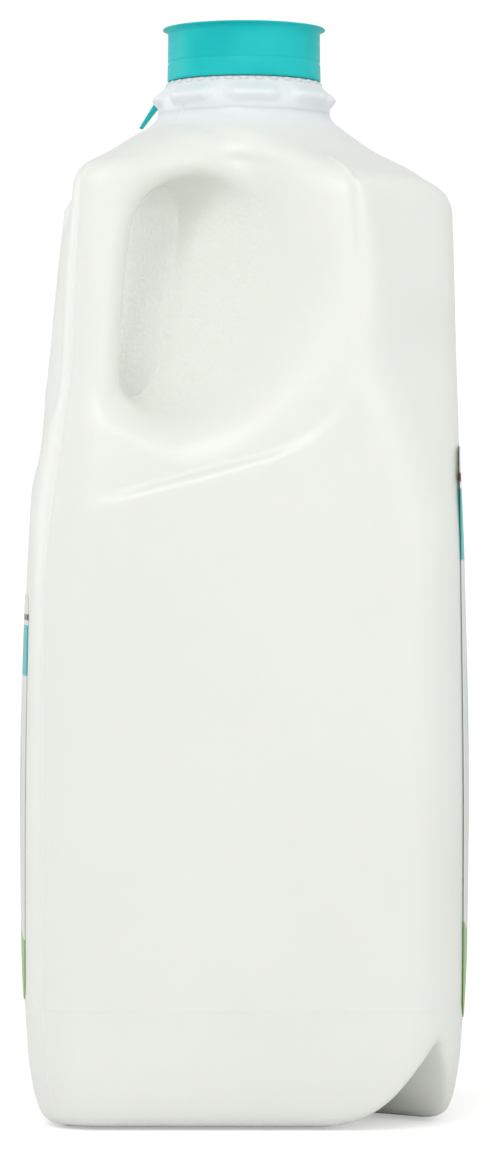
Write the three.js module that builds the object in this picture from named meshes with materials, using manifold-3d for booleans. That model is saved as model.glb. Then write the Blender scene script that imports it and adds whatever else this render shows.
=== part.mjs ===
// A half-gallon plastic milk jug, full and shut, with its snap cap and the two labels on its sides.
// Millimetres, +Z up. The jug stands on z = 0 and the axis of its neck is the Z axis.
// XZ is the mould's parting plane: the handle is on the corner towards -X, and y = 0 mirrors the jug.
// The four faces look along the diagonals. The corners are -X (handle), +X (rear) and -Y, +Y (sides).
import * as THREE from 'three';
import { mergeVertices } from 'three/addons/utils/BufferGeometryUtils.js';
import Module from 'manifold-3d';

// Body: half width of a face beside its chamfers, and how far the full jug swells past it, by height
const FACE_EDGE = [[0, 44.6], [4, 46.0], [9, 47.3], [18, 48.4], [32, 48.8], [70, 48.9], [120, 48.4],
	[205, 47.4]];
const FACE_SWELL = [[0, 0.1], [15, 1.0], [40, 2.3], [80, 2.7], [125, 2.2], [160, 0.9], [205, 0.2]];
const FACE_HALF_SPAN = 38;

// Corner chamfers: distance from the axis to each flat, by height
const HANDLE_CORNER = [[0, 58.6], [5, 60.4], [14, 62.4], [32, 63.6], [120, 63.6], [132, 61.8], [148, 58.5],
	[159, 56.7], [170, 54.8], [186, 54.0], [214, 52.0]];
const SIDE_CORNER = [[0, 57.8], [5, 59.6], [14, 61.4], [32, 62.5], [124, 62.4], [144, 60.2], [161, 56.1],
	[174, 52.7], [187, 52.1], [208, 49.2], [222, 47.0]];
const REAR_CORNER = [[0, 58.6], [5, 60.4], [14, 62.4], [32, 63.6], [124, 63.6], [145, 61.8],
	[175, 57.5], [205, 55.0]];

// Ledge across the two faces beside the handle, and the sunk face above it at each end
const LEDGE_HEIGHT = 147.2;
const LEDGE_SLOPE = 0.265;
const LEDGE_END = 26.5;
const LEDGE_TURN = 22;
const LEDGE_STEP = 2.0;
const LEDGE_FACE_FLATNESS = [[0, 0.0], [70, 0.2], [115, 0.5], [150, 1.1]];
const SUNK_AT_HANDLE = [[130, 48.3], [142, 47.0], [155, 44.8], [163, 42.8], [172, 42.0], [186, 41.3],
	[198, 40.4], [214, 38.6]];
const SUNK_AT_SIDE = [[150, 47.2], [175, 46.4], [187, 46.0], [198, 44.6], [208, 42.3], [224, 38.0]];
const SUNK_SPAN = [-32, 22];

// Finger recess behind the handle: wall and floor, which open outwards from the parting plane, and the
// round dish that the wall turns into on the face, with its depth, side and sloping lower corner
const RECESS_WALL = [[150, -29.0], [184, -23.0], [209, -18.6], [215, -19.6], [222, -24.0], [228, -32.0]];
const RECESS_DRAFT = 0.12;
const RECESS_FLOOR = 161;
const RECESS_FALL = 0.32;
const WALL_TURN = 18;
const DISH_DEPTH = [[150, 1.5], [188, 1.5], [204, -1.0], [213, -4.0], [221, -8.0]];
const DISH_SIDE = -16.4;
const DISH_CORNER = { from: 3.5, height: 163, rise: 0.88, lean: 0.9 };
const DISH_BLEND = 12;
const RIM_ROUNDING = 8;
const ROOT_BLEND = 8;
const FACE_ROUNDING = 4;
const CORNER_ROUNDING = 4.5;
const SHOULDER_ROUNDING = 3.5;
const FOOT_ROUNDING = 7;

// Handle: the side of its bar towards the recess, and the arm that joins the bar to the neck's root
const GRIP_INNER = [[144, 4.0], [152, 16.0], [159, 25.0], [167, 28.0], [178, 27.7], [192, 26.6],
	[205, 25.0], [214, 23.6]];
const ARM_UNDERSIDE = 213.8;
const ARM_SHOULDER = { from: 26, height: 225.3, slope: 0.4 };
const ARM_RISE = 8;
const ARM_HALF_WIDTH = [[-52, 11.0], [-42, 11.5], [-30, 14.0], [-18, 19.0], [-6, 24.0]];
const ARM_WIDTH_FROM = 206;

// Shoulder: height and slope of its planes, and the flared root of the neck
const SHOULDER_TOP = 219.8;
const PLAIN_SHOULDER = { from: 34, height: 219.6, slope: 0.743 };
const CORNER_SHOULDER = { from: 31, height: 219.0, slope: 0.37 };
const NECK_ROOT = [[19.9, 230.5], [22.3, 225.8], [30, 220.5]];
const NECK_ROOT_TOP = 231.5;
const NECK_ROOT_BOTTOM = 216;

// Base: an arch from side corner to side corner leaves a foot on the handle side and one on the rear side
const ARCH_HEIGHT_MIDDLE = 5;
const ARCH_HEIGHT_RISE = 18;
const ARCH_REACH = 60;
const ARCH_SLOPE_HANDLE_SIDE = 1.15;
const ARCH_SLOPE_REAR_SIDE = 1.7;
const ARCH_ROUNDING = 9;

// Neck finish: plain neck with a ring of eight lobes at its top, and the spout inside the cap
const NECK_RADIUS = 19.9;
const NECK_TOP = 232.6;
const SPOUT_BASE_RADIUS = 17.5;
const SPOUT_BASE = 237.2;
const SPOUT_RADIUS = 16.2;
const SPOUT_TOP = 247.4;
const LOBES = 8;
const LOBE_HALF_WIDTH_DEG = 17.5;
const LOBE_RELIEF = 1.5;
const LOBE_BOTTOM = 230.9;
const LOBE_PEAK = 232.7;
const LOBE_TOP = 235.6;

// Cap: skirt with a tear line, thin rim flaring out at the top, and the pull tab of its tear band
const CAP_BOTTOM = 237.5;
const CAP_TOP = 249.8;
const CAP_WALL = 1.1;
const CAP_PANEL = 1;
const SKIRT_RADIUS_BOTTOM = 17.75;
const SKIRT_RADIUS_TOP = 17.6;
const RIM_RADIUS = 18.8;
const RIM_HEIGHT = 1.4;
const PANEL_DEPTH = 0.9;
const TEAR_LINE = 243.7;
const TAB_DIRECTION_DEG = 110;
const TAB_WIDTH = 8;
const TAB_TIP_WIDTH = 1.6;
const TAB_TIP = [26.6, 227.9];
const TAB_THICKNESS = 0.9;

// Labels: thin films just off the two faces beside the front one
const LABEL_GAP = 0.3;
const LABEL_THICKNESS = 0.35;
const LABEL_HALF_WIDTH = 36;
const PLAIN_LABEL_HEIGHTS = [24, 152.5];
const LEDGE_LABEL_HEIGHTS = [28, 119];

// A smooth curve through a few [height, value] points, without overshoot
function curveThrough(points) {
	const last = points.length - 1;
	const slope = points.slice(1).map(([z, value], i) => (value - points[i][1]) / (z - points[i][0]));
	const tangent = points.map((_, i) => {
		const before = slope[Math.max(i - 1, 0)];
		const after = slope[Math.min(i, last - 1)];
		return before * after <= 0 ? 0 : 2 * before * after / (before + after);
	});
	return (z) => {
		if (z <= points[0][0]) return points[0][1];
		if (z >= points[last][0]) return points[last][1];
		const i = points.findIndex((point) => point[0] > z) - 1;
		const step = points[i + 1][0] - points[i][0];
		const t = (z - points[i][0]) / step;
		const s = t * t * (3 - 2 * t);
		const bend = t * (1 - t) * step * (tangent[i] * (1 - t) - tangent[i + 1] * t);
		return points[i][1] * (1 - s) + points[i + 1][1] * s + bend;
	};
}

const faceEdge = curveThrough(FACE_EDGE);
const faceSwell = curveThrough(FACE_SWELL);
const handleCorner = curveThrough(HANDLE_CORNER);
const sideCorner = curveThrough(SIDE_CORNER);
const rearCorner = curveThrough(REAR_CORNER);
const ledgeFaceFlatness = curveThrough(LEDGE_FACE_FLATNESS);
const sunkAtHandle = curveThrough(SUNK_AT_HANDLE);
const sunkAtSide = curveThrough(SUNK_AT_SIDE);
const recessWall = curveThrough(RECESS_WALL);
const dishDepth = curveThrough(DISH_DEPTH);
const gripInner = curveThrough(GRIP_INNER);
const armHalfWidth = curveThrough(ARM_HALF_WIDTH);

// A solid is a function of a point: below zero inside, zero on its surface.
// Joining and trimming round the edge over about the given width.
const joined = (a, b, width) => Math.min(a, b) - Math.max(width - Math.abs(a - b), 0) ** 2 / (4 * width);
const trimmed = (a, b, width) => -joined(-a, -b, width);
const trimmedByAll = (solids, width) => solids.reduce((a, b) => trimmed(a, b, width));
const smoothStep = (t) => THREE.MathUtils.smoothstep(t, 0, 1);

// Distance of the two faces that carry no handle, with across measured along the face
function plainFace(across, z) {
	return faceEdge(z) + faceSwell(z) * (1 - (across / FACE_HALF_SPAN) ** 2);
}

// Distance of the part of a face beside the handle that carries the label, a little flatter near the ledge
function underLedge(across, z) {
	return plainFace(across, z) - ledgeFaceFlatness(z);
}

// A face beside the handle: across runs from the handle to the side corner
function ledgeFace(across, z) {
	const span = (across - SUNK_SPAN[0]) / (SUNK_SPAN[1] - SUNK_SPAN[0]);
	const sunk = THREE.MathUtils.lerp(sunkAtHandle(z), sunkAtSide(z), smoothStep(span));
	const below = (LEDGE_HEIGHT + LEDGE_SLOPE * across - z) / Math.hypot(1, LEDGE_SLOPE);
	const inside = -trimmed(below, across - LEDGE_END, LEDGE_TURN);
	return THREE.MathUtils.lerp(underLedge(across, z), sunk, smoothStep(inside / LEDGE_STEP));
}

function shoulderPlane(distance, z, { from, height, slope }) {
	return (z - height + slope * (distance - from)) / Math.hypot(1, slope);
}

// The flared root of the neck, a steep cone on a shallow one
function neckRoot(x, y, z) {
	const radius = Math.hypot(x, y);
	const cones = [0, 1].map((i) => {
		const [top, bottom] = [NECK_ROOT[i], NECK_ROOT[i + 1]];
		const run = bottom[0] - top[0];
		const drop = top[1] - bottom[1];
		return ((radius - top[0]) * drop + (z - top[1]) * run) / Math.hypot(run, drop);
	});
	return trimmedByAll([joined(cones[0], cones[1], 2), z - NECK_ROOT_TOP, NECK_ROOT_BOTTOM - z], 1);
}

// The closed outer form, as if the handle's corner were solid
function outerForm(x, y, z) {
	const front = -(x + y) / Math.SQRT2;
	const left = (y - x) / Math.SQRT2;
	const faces = trimmedByAll([front - ledgeFace(-left, z), left - ledgeFace(-front, z),
		-left - plainFace(front, z), -front - plainFace(left, z)], FACE_ROUNDING);
	const corners = Math.max(-x - handleCorner(z), x - rearCorner(z), Math.abs(y) - sideCorner(z));
	const raised = SHOULDER_TOP + ARM_RISE * smoothStep(-(x + NECK_RADIUS) / ARM_RISE);
	const shoulder = trimmedByAll([
		shoulderPlane(-left, z, PLAIN_SHOULDER), shoulderPlane(-front, z, PLAIN_SHOULDER),
		shoulderPlane(Math.abs(y), z, CORNER_SHOULDER), shoulderPlane(x, z, CORNER_SHOULDER),
		shoulderPlane(-x, z, ARM_SHOULDER), z - raised,
	], FACE_ROUNDING);
	const upright = trimmed(trimmed(faces, corners, CORNER_ROUNDING), shoulder, SHOULDER_ROUNDING);
	const block = trimmed(upright, -z, FOOT_ROUNDING);
	return joined(block, neckRoot(x, y, z), 3);
}

// What the finger recess leaves of the body: a wall that turns into a dish on the face, a floor and a rim
function behindRecess(x, y, z) {
	const offPlane = Math.abs(y);
	const across = (x + offPlane) / Math.SQRT2;
	const out = (offPlane - x) / Math.SQRT2 - sunkAtSide(z);
	const wall = recessWall(z) + RECESS_DRAFT * offPlane - x;
	const dish = trimmed(wall, out + dishDepth(z), WALL_TURN);
	const floor = (z - RECESS_FLOOR + RECESS_FALL * offPlane) / Math.hypot(1, RECESS_FALL);
	const { from, height, rise, lean } = DISH_CORNER;
	const corner = (z - height - rise * (across - from) + lean * out) / Math.hypot(1, rise, lean);
	const rim = joined(corner, DISH_SIDE - x, DISH_BLEND);
	return joined(dish, joined(floor, rim, DISH_BLEND), DISH_BLEND);
}

// What it leaves of the handle: an upright bar and the arm from its top to the neck's root
function beforeRecess(x, y, z) {
	const front = -(x + y) / Math.SQRT2;
	const left = (y - x) / Math.SQRT2;
	const bar = trimmed(gripInner(z) - front, gripInner(z) - left, 7);
	const width = Math.abs(y) - armHalfWidth(x) - Math.max(ARM_WIDTH_FROM - z, 0) / 2;
	return trimmed(joined(bar, ARM_UNDERSIDE - z, 14), width, 5);
}

const body = (x, y, z) => trimmed(outerForm(x, y, z), behindRecess(x, y, z), RIM_ROUNDING);
const handle = (x, y, z) => trimmed(outerForm(x, y, z), beforeRecess(x, y, z), RIM_ROUNDING);

// How far a ray from a point inside a solid runs before it leaves it
function reach(solid, from, direction, limit) {
	const outside = (length) => solid(from.x + direction.x * length, from.y + direction.y * length,
		from.z + direction.z * length) > 1e-6;
	let near = 0;
	while (near < limit && !outside(near + 1)) near += 1;
	let far = near + 1;
	for (let i = 0; i < 24; i += 1) {
		const middle = (near + far) / 2;
		if (outside(middle)) far = middle;
		else near = middle;
	}
	return near;
}

// The points where the rays of one section leave a solid
function sectionPoints(solid, centre, directions, limit) {
	return directions.map((direction) => {
		const length = reach(solid, centre, direction, limit);
		return centre.clone().addScaledVector(direction, length);
	});
}

// Triangles over one section: a fan round its centre, or on a thin one a strip between its two halves
function endTriangles(start, count, centre) {
	const triangles = [];
	if (centre === null) {
		for (let i = 0; i + 1 < count / 2; i += 1) {
			const [a, b, c, d] = [start + i, start + i + 1, start + count - 2 - i, start + count - 1 - i];
			triangles.push([a, b, c], [a, c, d]);
		}
	} else {
		for (let i = 0; i < count; i += 1) triangles.push([start + i, start + (i + 1) % count, centre]);
	}
	return triangles;
}

// A closed geometry through a row of sections with the same number of points in each
function skin(sections, thin = false) {
	const count = sections[0].length;
	const last = (sections.length - 1) * count;
	const positions = sections.flat();
	const index = [];
	for (let start = 0; start < last; start += count) {
		for (let i = 0; i < count; i += 1) {
			const next = (i + 1) % count;
			const [a, b, c, d] = [start + i, start + next, start + count + next, start + count + i];
			index.push(a, b, c, a, c, d);
		}
	}
	const ends = [sections[0], sections[sections.length - 1]].map((section) =>
		section.reduce((sum, point) => sum.add(point), new THREE.Vector3()).divideScalar(count));
	const centres = thin ? [null, null] : [positions.length, positions.length + 1];
	if (!thin) positions.push(...ends);
	index.push(...endTriangles(0, count, centres[0]).flatMap((triangle) => triangle.reverse()));
	index.push(...endTriangles(last, count, centres[1]).flat());
	const geometry = new THREE.BufferGeometry().setFromPoints(positions);
	geometry.setIndex(index);
	return geometry;
}

const wasm = await Module();
wasm.setup();

function toSolid(geometry) {
	const plain = geometry.clone();
	plain.deleteAttribute('normal');
	plain.deleteAttribute('uv');
	const merged = mergeVertices(plain, 1e-4);
	return new wasm.Manifold(new wasm.Mesh({
		numProp: 3,
		vertProperties: new Float32Array(merged.attributes.position.array),
		triVerts: new Uint32Array(merged.index.array),
	}));
}

function toGeometry(solid) {
	const mesh = solid.getMesh();
	const geometry = new THREE.BufferGeometry();
	geometry.setAttribute('position', new THREE.BufferAttribute(mesh.vertProperties, 3));
	geometry.setIndex(new THREE.BufferAttribute(mesh.triVerts, 1));
	geometry.computeVertexNormals();
	return geometry;
}

// Heights from low to high, a given number of steps between each two of a few stops
function stepsBetween(stops, counts) {
	const heights = [stops[0]];
	counts.forEach((count, i) => {
		for (let k = 1; k <= count; k += 1) heights.push(THREE.MathUtils.lerp(stops[i], stops[i + 1], k / count));
	});
	return heights;
}

// Directions round the axis, closer together at the four corners than on the faces
function bodyDirections() {
	const fan = [0, 4, 7.5, 10.5, 14, 18, 21.5, 26, 33];
	const quarter = [...fan, 45, ...fan.slice(1).reverse().map((offset) => 90 - offset)];
	const angles = [0, 90, 180, 270].flatMap((corner) => quarter.map((offset) => corner + offset));
	return angles.map((angle) => {
		const radians = THREE.MathUtils.degToRad(angle);
		return new THREE.Vector3(Math.cos(radians), Math.sin(radians), 0);
	});
}

// Up to the recess floor the root of the handle is part of the body
function bodyWithHandleRoot(x, y, z) {
	if (z > RECESS_FLOOR) return body(x, y, z);
	const kept = joined(behindRecess(x, y, z), beforeRecess(x, y, z), ROOT_BLEND);
	return trimmed(outerForm(x, y, z), kept, RIM_ROUNDING);
}

function bodyGeometry() {
	const directions = bodyDirections();
	const stops = [0, 1.2, 4, 14, 32, 120, 134, RECESS_FLOOR, RECESS_FLOOR + 0.2, 176, 204, 216, 230.5];
	const heights = stepsBetween(stops, [1, 2, 3, 2, 4, 3, 11, 1, 5, 6, 5, 6]);
	return skin(heights.map((z) => sectionPoints(bodyWithHandleRoot, new THREE.Vector3(0, 0, z), directions, 80)));
}

// The handle's sections stand square to a spine: up the bar, round the bend and along the arm
function handleGeometry() {
	const spine = new THREE.CurvePath();
	const [bottom, bendStart, bendEnd, end] = [[-47.6, 158], [-46.6, 203], [-36, 217], [-14, 221]].map(
		([x, z]) => new THREE.Vector3(x, 0, z));
	spine.add(new THREE.LineCurve3(bottom, bendStart));
	spine.add(new THREE.QuadraticBezierCurve3(bendStart, new THREE.Vector3(-46.2, 0, 214.5), bendEnd));
	spine.add(new THREE.LineCurve3(bendEnd, end));
	const steps = 26;
	const sides = 24;
	const sections = [];
	for (let k = 0; k <= steps; k += 1) {
		const centre = spine.getPoint(k / steps);
		const along = spine.getTangent(k / steps);
		const across = new THREE.Vector3(0, 1, 0);
		const outward = new THREE.Vector3().crossVectors(across, along).normalize();
		const directions = Array.from({ length: sides }, (_, i) => {
			const angle = 2 * Math.PI * i / sides;
			return outward.clone().multiplyScalar(Math.cos(angle)).addScaledVector(across, Math.sin(angle));
		});
		sections.push(sectionPoints(handle, centre, directions, 30));
	}
	return skin(sections);
}

// What the arch takes from under the body: a rounded V roof, higher towards the side corners
function archGeometry() {
	const sections = [];
	for (let k = -9; k <= 9; k += 1) {
		const y = 72 * k / 9;
		const peak = ARCH_HEIGHT_MIDDLE + ARCH_HEIGHT_RISE * (y / ARCH_REACH) ** 2;
		const points = [];
		for (let i = -8; i <= 8; i += 1) {
			const slope = i < 0 ? ARCH_SLOPE_HANDLE_SIDE : ARCH_SLOPE_REAR_SIDE;
			const x = (peak + ARCH_ROUNDING) / slope * i / 8;
			const roof = trimmed(peak - slope * (Math.hypot(x, 2) - 2), 0, ARCH_ROUNDING);
			points.push(new THREE.Vector3(x, y, Math.max(roof, 0)));
		}
		points.push(new THREE.Vector3(points[16].x, y, -5), new THREE.Vector3(points[0].x, y, -5));
		sections.push(points);
	}
	return skin(sections);
}

// The neck from its root up, the cone above it and the spout; lobes stand off the neck and the cone
function neckFinishGeometry() {
	const neck = [NECK_ROOT_TOP - 1.5, LOBE_BOTTOM, LOBE_BOTTOM + 0.6, LOBE_BOTTOM + 1.2, NECK_TOP].map(
		(z) => new THREE.Vector2(NECK_RADIUS, z));
	const cone = new THREE.QuadraticBezierCurve(
		new THREE.Vector2(NECK_RADIUS, NECK_TOP), new THREE.Vector2(NECK_RADIUS - 0.1, NECK_TOP + 1.6),
		new THREE.Vector2(SPOUT_BASE_RADIUS, SPOUT_BASE),
	).getPoints(6);
	const profile = [new THREE.Vector2(NECK_RADIUS - 1.5, NECK_ROOT_TOP - 6), ...neck, ...cone.slice(1),
		new THREE.Vector2(SPOUT_RADIUS, SPOUT_BASE + 0.1), new THREE.Vector2(SPOUT_RADIUS, SPOUT_TOP - 0.6),
		new THREE.Vector2(SPOUT_RADIUS - 0.6, SPOUT_TOP)];
	const segments = 64;
	return skin(profile.map((point) => Array.from({ length: segments }, (_, i) => {
		const angle = 2 * Math.PI * i / segments;
		const radius = point.x + lobeRelief(angle, point.y);
		return new THREE.Vector3(radius * Math.cos(angle), radius * Math.sin(angle), point.y);
	})));
}

// How far a lobe stands off, steep below and gentle above; one lobe faces each face and each corner
function lobeRelief(angle, z) {
	const pitch = 360 / LOBES;
	const offset = THREE.MathUtils.radToDeg(angle) % pitch;
	const sideways = Math.min(offset, pitch - offset) / LOBE_HALF_WIDTH_DEG;
	const rise = smoothStep((z - LOBE_BOTTOM) / (LOBE_PEAK - LOBE_BOTTOM));
	const fall = 1 - smoothStep((z - LOBE_PEAK) / (LOBE_TOP - LOBE_PEAK));
	return LOBE_RELIEF * Math.max(1 - sideways ** 4, 0) * rise * fall;
}

function capGeometry() {
	const inner = SKIRT_RADIUS_BOTTOM - CAP_WALL;
	const rim = new THREE.QuadraticBezierCurve(
		new THREE.Vector2(SKIRT_RADIUS_TOP, CAP_TOP - RIM_HEIGHT),
		new THREE.Vector2(SKIRT_RADIUS_TOP + 0.2, CAP_TOP - 0.6), new THREE.Vector2(RIM_RADIUS, CAP_TOP - 0.35),
	).getPoints(5);
	const ceiling = CAP_TOP - PANEL_DEPTH - CAP_PANEL;
	const outline = [[0, ceiling], [inner - 0.3, ceiling], [inner, ceiling - 0.4], [inner, CAP_BOTTOM],
		[SKIRT_RADIUS_BOTTOM, CAP_BOTTOM], [SKIRT_RADIUS_BOTTOM, CAP_BOTTOM + 0.5],
		[SKIRT_RADIUS_TOP + 0.08, TEAR_LINE - 0.35], [SKIRT_RADIUS_TOP - 0.2, TEAR_LINE],
		[SKIRT_RADIUS_TOP + 0.05, TEAR_LINE + 0.35]];
	const points = [...outline.map(([r, z]) => new THREE.Vector2(r, z)), ...rim,
		new THREE.Vector2(RIM_RADIUS - 0.15, CAP_TOP), new THREE.Vector2(RIM_RADIUS - 1.3, CAP_TOP - 0.25),
		new THREE.Vector2(RIM_RADIUS - 2.3, CAP_TOP - PANEL_DEPTH), new THREE.Vector2(0, CAP_TOP - PANEL_DEPTH)];
	const lathe = new THREE.LatheGeometry(points, 56);
	lathe.rotateX(Math.PI / 2);
	return toGeometry(toSolid(lathe).add(toSolid(tabGeometry())));
}

// The pull tab: a thin tapering tongue from the skirt's lower edge, out over the lobes and down
function tabGeometry() {
	const direction = THREE.MathUtils.degToRad(TAB_DIRECTION_DEG);
	const path = new THREE.QuadraticBezierCurve(new THREE.Vector2(SKIRT_RADIUS_BOTTOM - 0.5, CAP_BOTTOM + 0.7),
		new THREE.Vector2(SKIRT_RADIUS_BOTTOM + 5.3, CAP_BOTTOM - 1.6), new THREE.Vector2(...TAB_TIP));
	const sections = [];
	for (let k = 0; k <= 6; k += 1) {
		const point = path.getPoint(k / 6);
		const tangent = path.getTangent(k / 6);
		const width = THREE.MathUtils.lerp(TAB_WIDTH, TAB_TIP_WIDTH, k / 6) / 2;
		const thick = TAB_THICKNESS / 2;
		const corners = [[-width, -thick], [width, -thick], [width, thick], [-width, thick]];
		sections.push(corners.map(([side, off]) => {
			const corner = new THREE.Vector3(point.x - tangent.y * off, side, point.y + tangent.x * off);
			return corner.applyAxisAngle(new THREE.Vector3(0, 0, 1), direction);
		}));
	}
	return skin(sections);
}

// A film on a face whose outward direction is given; its corners are rounded
function labelGeometry(face, outward, heights) {
	const columns = 10;
	const rows = 12;
	const across = new THREE.Vector3(-outward.y, outward.x, 0);
	const corner = 5;
	const middle = (heights[0] + heights[1]) / 2;
	const half = (heights[1] - heights[0]) / 2;
	const sections = [];
	for (let row = 0; row <= rows; row += 1) {
		const z = heights[0] + (heights[1] - heights[0]) * (0.5 - 0.5 * Math.cos(Math.PI * row / rows));
		const intoCorner = Math.max(Math.abs(z - middle) - (half - corner), 0);
		const halfWidth = LABEL_HALF_WIDTH - corner + Math.sqrt(Math.max(corner ** 2 - intoCorner ** 2, 0));
		const near = [];
		const far = [];
		for (let column = 0; column <= columns; column += 1) {
			const t = halfWidth * (2 * column / columns - 1);
			const base = across.clone().multiplyScalar(t).setZ(z);
			const distance = face(t, z) + LABEL_GAP;
			near.push(base.clone().addScaledVector(outward, distance));
			far.push(base.addScaledVector(outward, distance + LABEL_THICKNESS));
		}
		sections.push([...far, ...near.reverse()]);
	}
	return skin(sections, true);
}

function namedMesh(name, geometry, color, roughness) {
	const mesh = new THREE.Mesh(geometry, new THREE.MeshStandardMaterial({ color, roughness, metalness: 0 }));
	mesh.name = name;
	return mesh;
}

const jug = toSolid(bodyGeometry()).add(toSolid(handleGeometry())).add(toSolid(neckFinishGeometry()))
	.subtract(toSolid(archGeometry()));

const plainFaceOutward = new THREE.Vector3(Math.SQRT1_2, -Math.SQRT1_2, 0);
const ledgeFaceOutward = new THREE.Vector3(-Math.SQRT1_2, Math.SQRT1_2, 0);
const plainLabel = labelGeometry(plainFace, plainFaceOutward, PLAIN_LABEL_HEIGHTS);
const ledgeLabel = labelGeometry(underLedge, ledgeFaceOutward, LEDGE_LABEL_HEIGHTS);

const group = new THREE.Group();
group.add(namedMesh('jug', toGeometry(jug), 0xeef1ea, 0.4));
group.add(namedMesh('cap', capGeometry(), 0x2fc3c2, 0.35));
group.add(namedMesh('label_plain_face', plainLabel, 0xf1f2ee, 0.45));
group.add(namedMesh('label_ledge_face', ledgeLabel, 0xf1f2ee, 0.45));

export default group;
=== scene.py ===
"""The looks of a full plastic milk jug with a snap cap and two plain side labels.

Lengths in the form functions are millimetres, as in the CAD source; a mesh is turned into metres last.
The jug's skin is meshed from one function of a point that is negative inside, so every bend is smooth.
"""
import functools
import math

import bmesh
import bpy
import numpy as np
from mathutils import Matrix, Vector


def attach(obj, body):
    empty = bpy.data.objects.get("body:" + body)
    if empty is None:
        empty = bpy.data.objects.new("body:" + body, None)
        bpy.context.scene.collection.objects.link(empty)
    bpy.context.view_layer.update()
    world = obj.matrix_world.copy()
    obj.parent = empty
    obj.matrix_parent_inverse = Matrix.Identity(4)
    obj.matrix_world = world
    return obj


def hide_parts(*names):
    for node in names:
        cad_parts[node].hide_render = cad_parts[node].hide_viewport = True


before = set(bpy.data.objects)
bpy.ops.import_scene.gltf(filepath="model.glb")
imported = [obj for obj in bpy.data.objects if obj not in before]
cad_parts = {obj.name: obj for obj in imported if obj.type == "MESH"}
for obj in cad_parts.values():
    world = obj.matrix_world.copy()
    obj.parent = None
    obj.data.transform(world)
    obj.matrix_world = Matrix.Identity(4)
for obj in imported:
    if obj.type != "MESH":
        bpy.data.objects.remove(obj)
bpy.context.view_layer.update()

MM = 0.001
DIAGONAL = math.sqrt(0.5)

# Body: half width of a face beside its chamfers, and how far the full jug swells past it, by height
FACE_EDGE = [(0, 44.6), (4, 46.0), (9, 47.3), (18, 48.4), (32, 48.8), (70, 48.9), (120, 48.4), (205, 47.4)]
FACE_SWELL = [(0, 0.1), (15, 1.0), (40, 2.3), (80, 2.7), (125, 2.2), (160, 0.9), (205, 0.2)]
FACE_HALF_SPAN = 38
FACE_ROUNDING = 4
FOOT_ROUNDING = 4.5

# Corner chamfers: distance from the axis to each flat, by height
HANDLE_CORNER = [
    (0, 58.6), (5, 60.4), (14, 62.4), (32, 63.6), (120, 63.6), (132, 61.8), (148, 58.5),
    (159, 56.7), (170, 54.8), (186, 54.0), (214, 52.0),
]
SIDE_CORNER = [
    (0, 57.8), (5, 59.6), (14, 61.4), (32, 62.5), (124, 62.4), (144, 60.2), (161, 56.1),
    (174, 52.7), (187, 52.1), (208, 49.2), (222, 47.0),
]
REAR_CORNER = [
    (0, 58.6), (5, 60.4), (14, 62.4), (32, 63.6), (124, 63.6), (145, 61.8), (175, 57.5), (205, 55.0),
]
CORNER_ROUNDING = 4.5

# Ledge across the two faces beside the handle, and the sunk face above it at each end of its span
LEDGE_HEIGHT = 147.2
LEDGE_SLOPE = 0.265
LEDGE_END = 26.5
LEDGE_TURN = 22
LEDGE_STEP = 2.0
LEDGE_FACE_FLATNESS = [(0, 0.0), (70, 0.2), (115, 0.5), (150, 1.1)]
SUNK_AT_HANDLE = [
    (130, 48.3), (142, 47.0), (155, 44.8), (163, 42.8), (172, 42.0), (186, 41.3), (198, 40.4), (214, 38.6),
]
SUNK_AT_SIDE = [(150, 47.2), (175, 46.4), (187, 46.0), (198, 44.6), (208, 42.3), (224, 38.0)]
SUNK_SPAN = (-32, 22)

# Finger recess behind the handle: wall, floor, how both open outwards from the parting plane, the dish
# beside them (its depth under the sunk face by height) and a low ridge where the mould pinched the wall
RECESS_WALL = [(150, -29.0), (184, -23.0), (209, -18.6), (215, -19.6), (222, -24.0), (228, -32.0)]
RECESS_DRAFT = 0.12
RECESS_FLOOR = 161
RECESS_FALL = 0.32
RIM_ROUNDING = 8
WALL_TURN = 18
DISH_DEPTH = [(150, 1.5), (186, 1.2), (198, -1.5), (206, -5.0), (214, -8.5)]
DISH_SIDE = -16.4
DISH_BLEND = 12
PINCH_RIDGE_HEIGHT = 0.5
PINCH_RIDGE_HALF_WIDTH = 3.0
ROOT_BLEND = 8

# Lower corner of the dish: a place across the face, its height there, its rise across and its lean outwards
DISH_CORNER = (3.5, 163.0, 0.88, 0.7)

# Handle: the side of its bar towards the recess, and the arm that joins the bar to the root of the neck
GRIP_INNER = [
    (144, 4.0), (152, 16.0), (159, 25.0), (167, 28.0), (178, 27.7), (192, 26.6), (205, 25.0), (214, 23.6),
]
GRIP_ROUNDING = 7
ARM_UNDERSIDE = 213.8
ARM_BLEND = 14
ARM_HALF_WIDTH = [(-52, 11.0), (-42, 11.5), (-30, 14.0), (-18, 19.0), (-6, 24.0)]
ARM_WIDTH_FROM = 206
ARM_SPREAD = 0.5
ARM_EDGE_ROUNDING = 5

# Shoulder: how far out each plane starts, its height there and its slope
SHOULDER_TOP = 219.8
ARM_RISE = 8
PLAIN_SHOULDER = (34, 219.6, 0.743)
CORNER_SHOULDER = (31, 219.0, 0.37)
ARM_SHOULDER = (26, 225.3, 0.40)
FRONT_SHOULDER = (27, 224.2, 0.7)
SHOULDER_PLANE_BLEND = 4
SHOULDER_ROUNDING = 3.5

# Thin rib on each side shoulder: its ends, along the face and out from the axis
RIB_START = (18.0, 31.0)
RIB_END = (26.0, 43.5)
RIB_RUN_OUT = 2
RIB_HEIGHT = 0.8
RIB_HALF_WIDTH = 1.2

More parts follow.
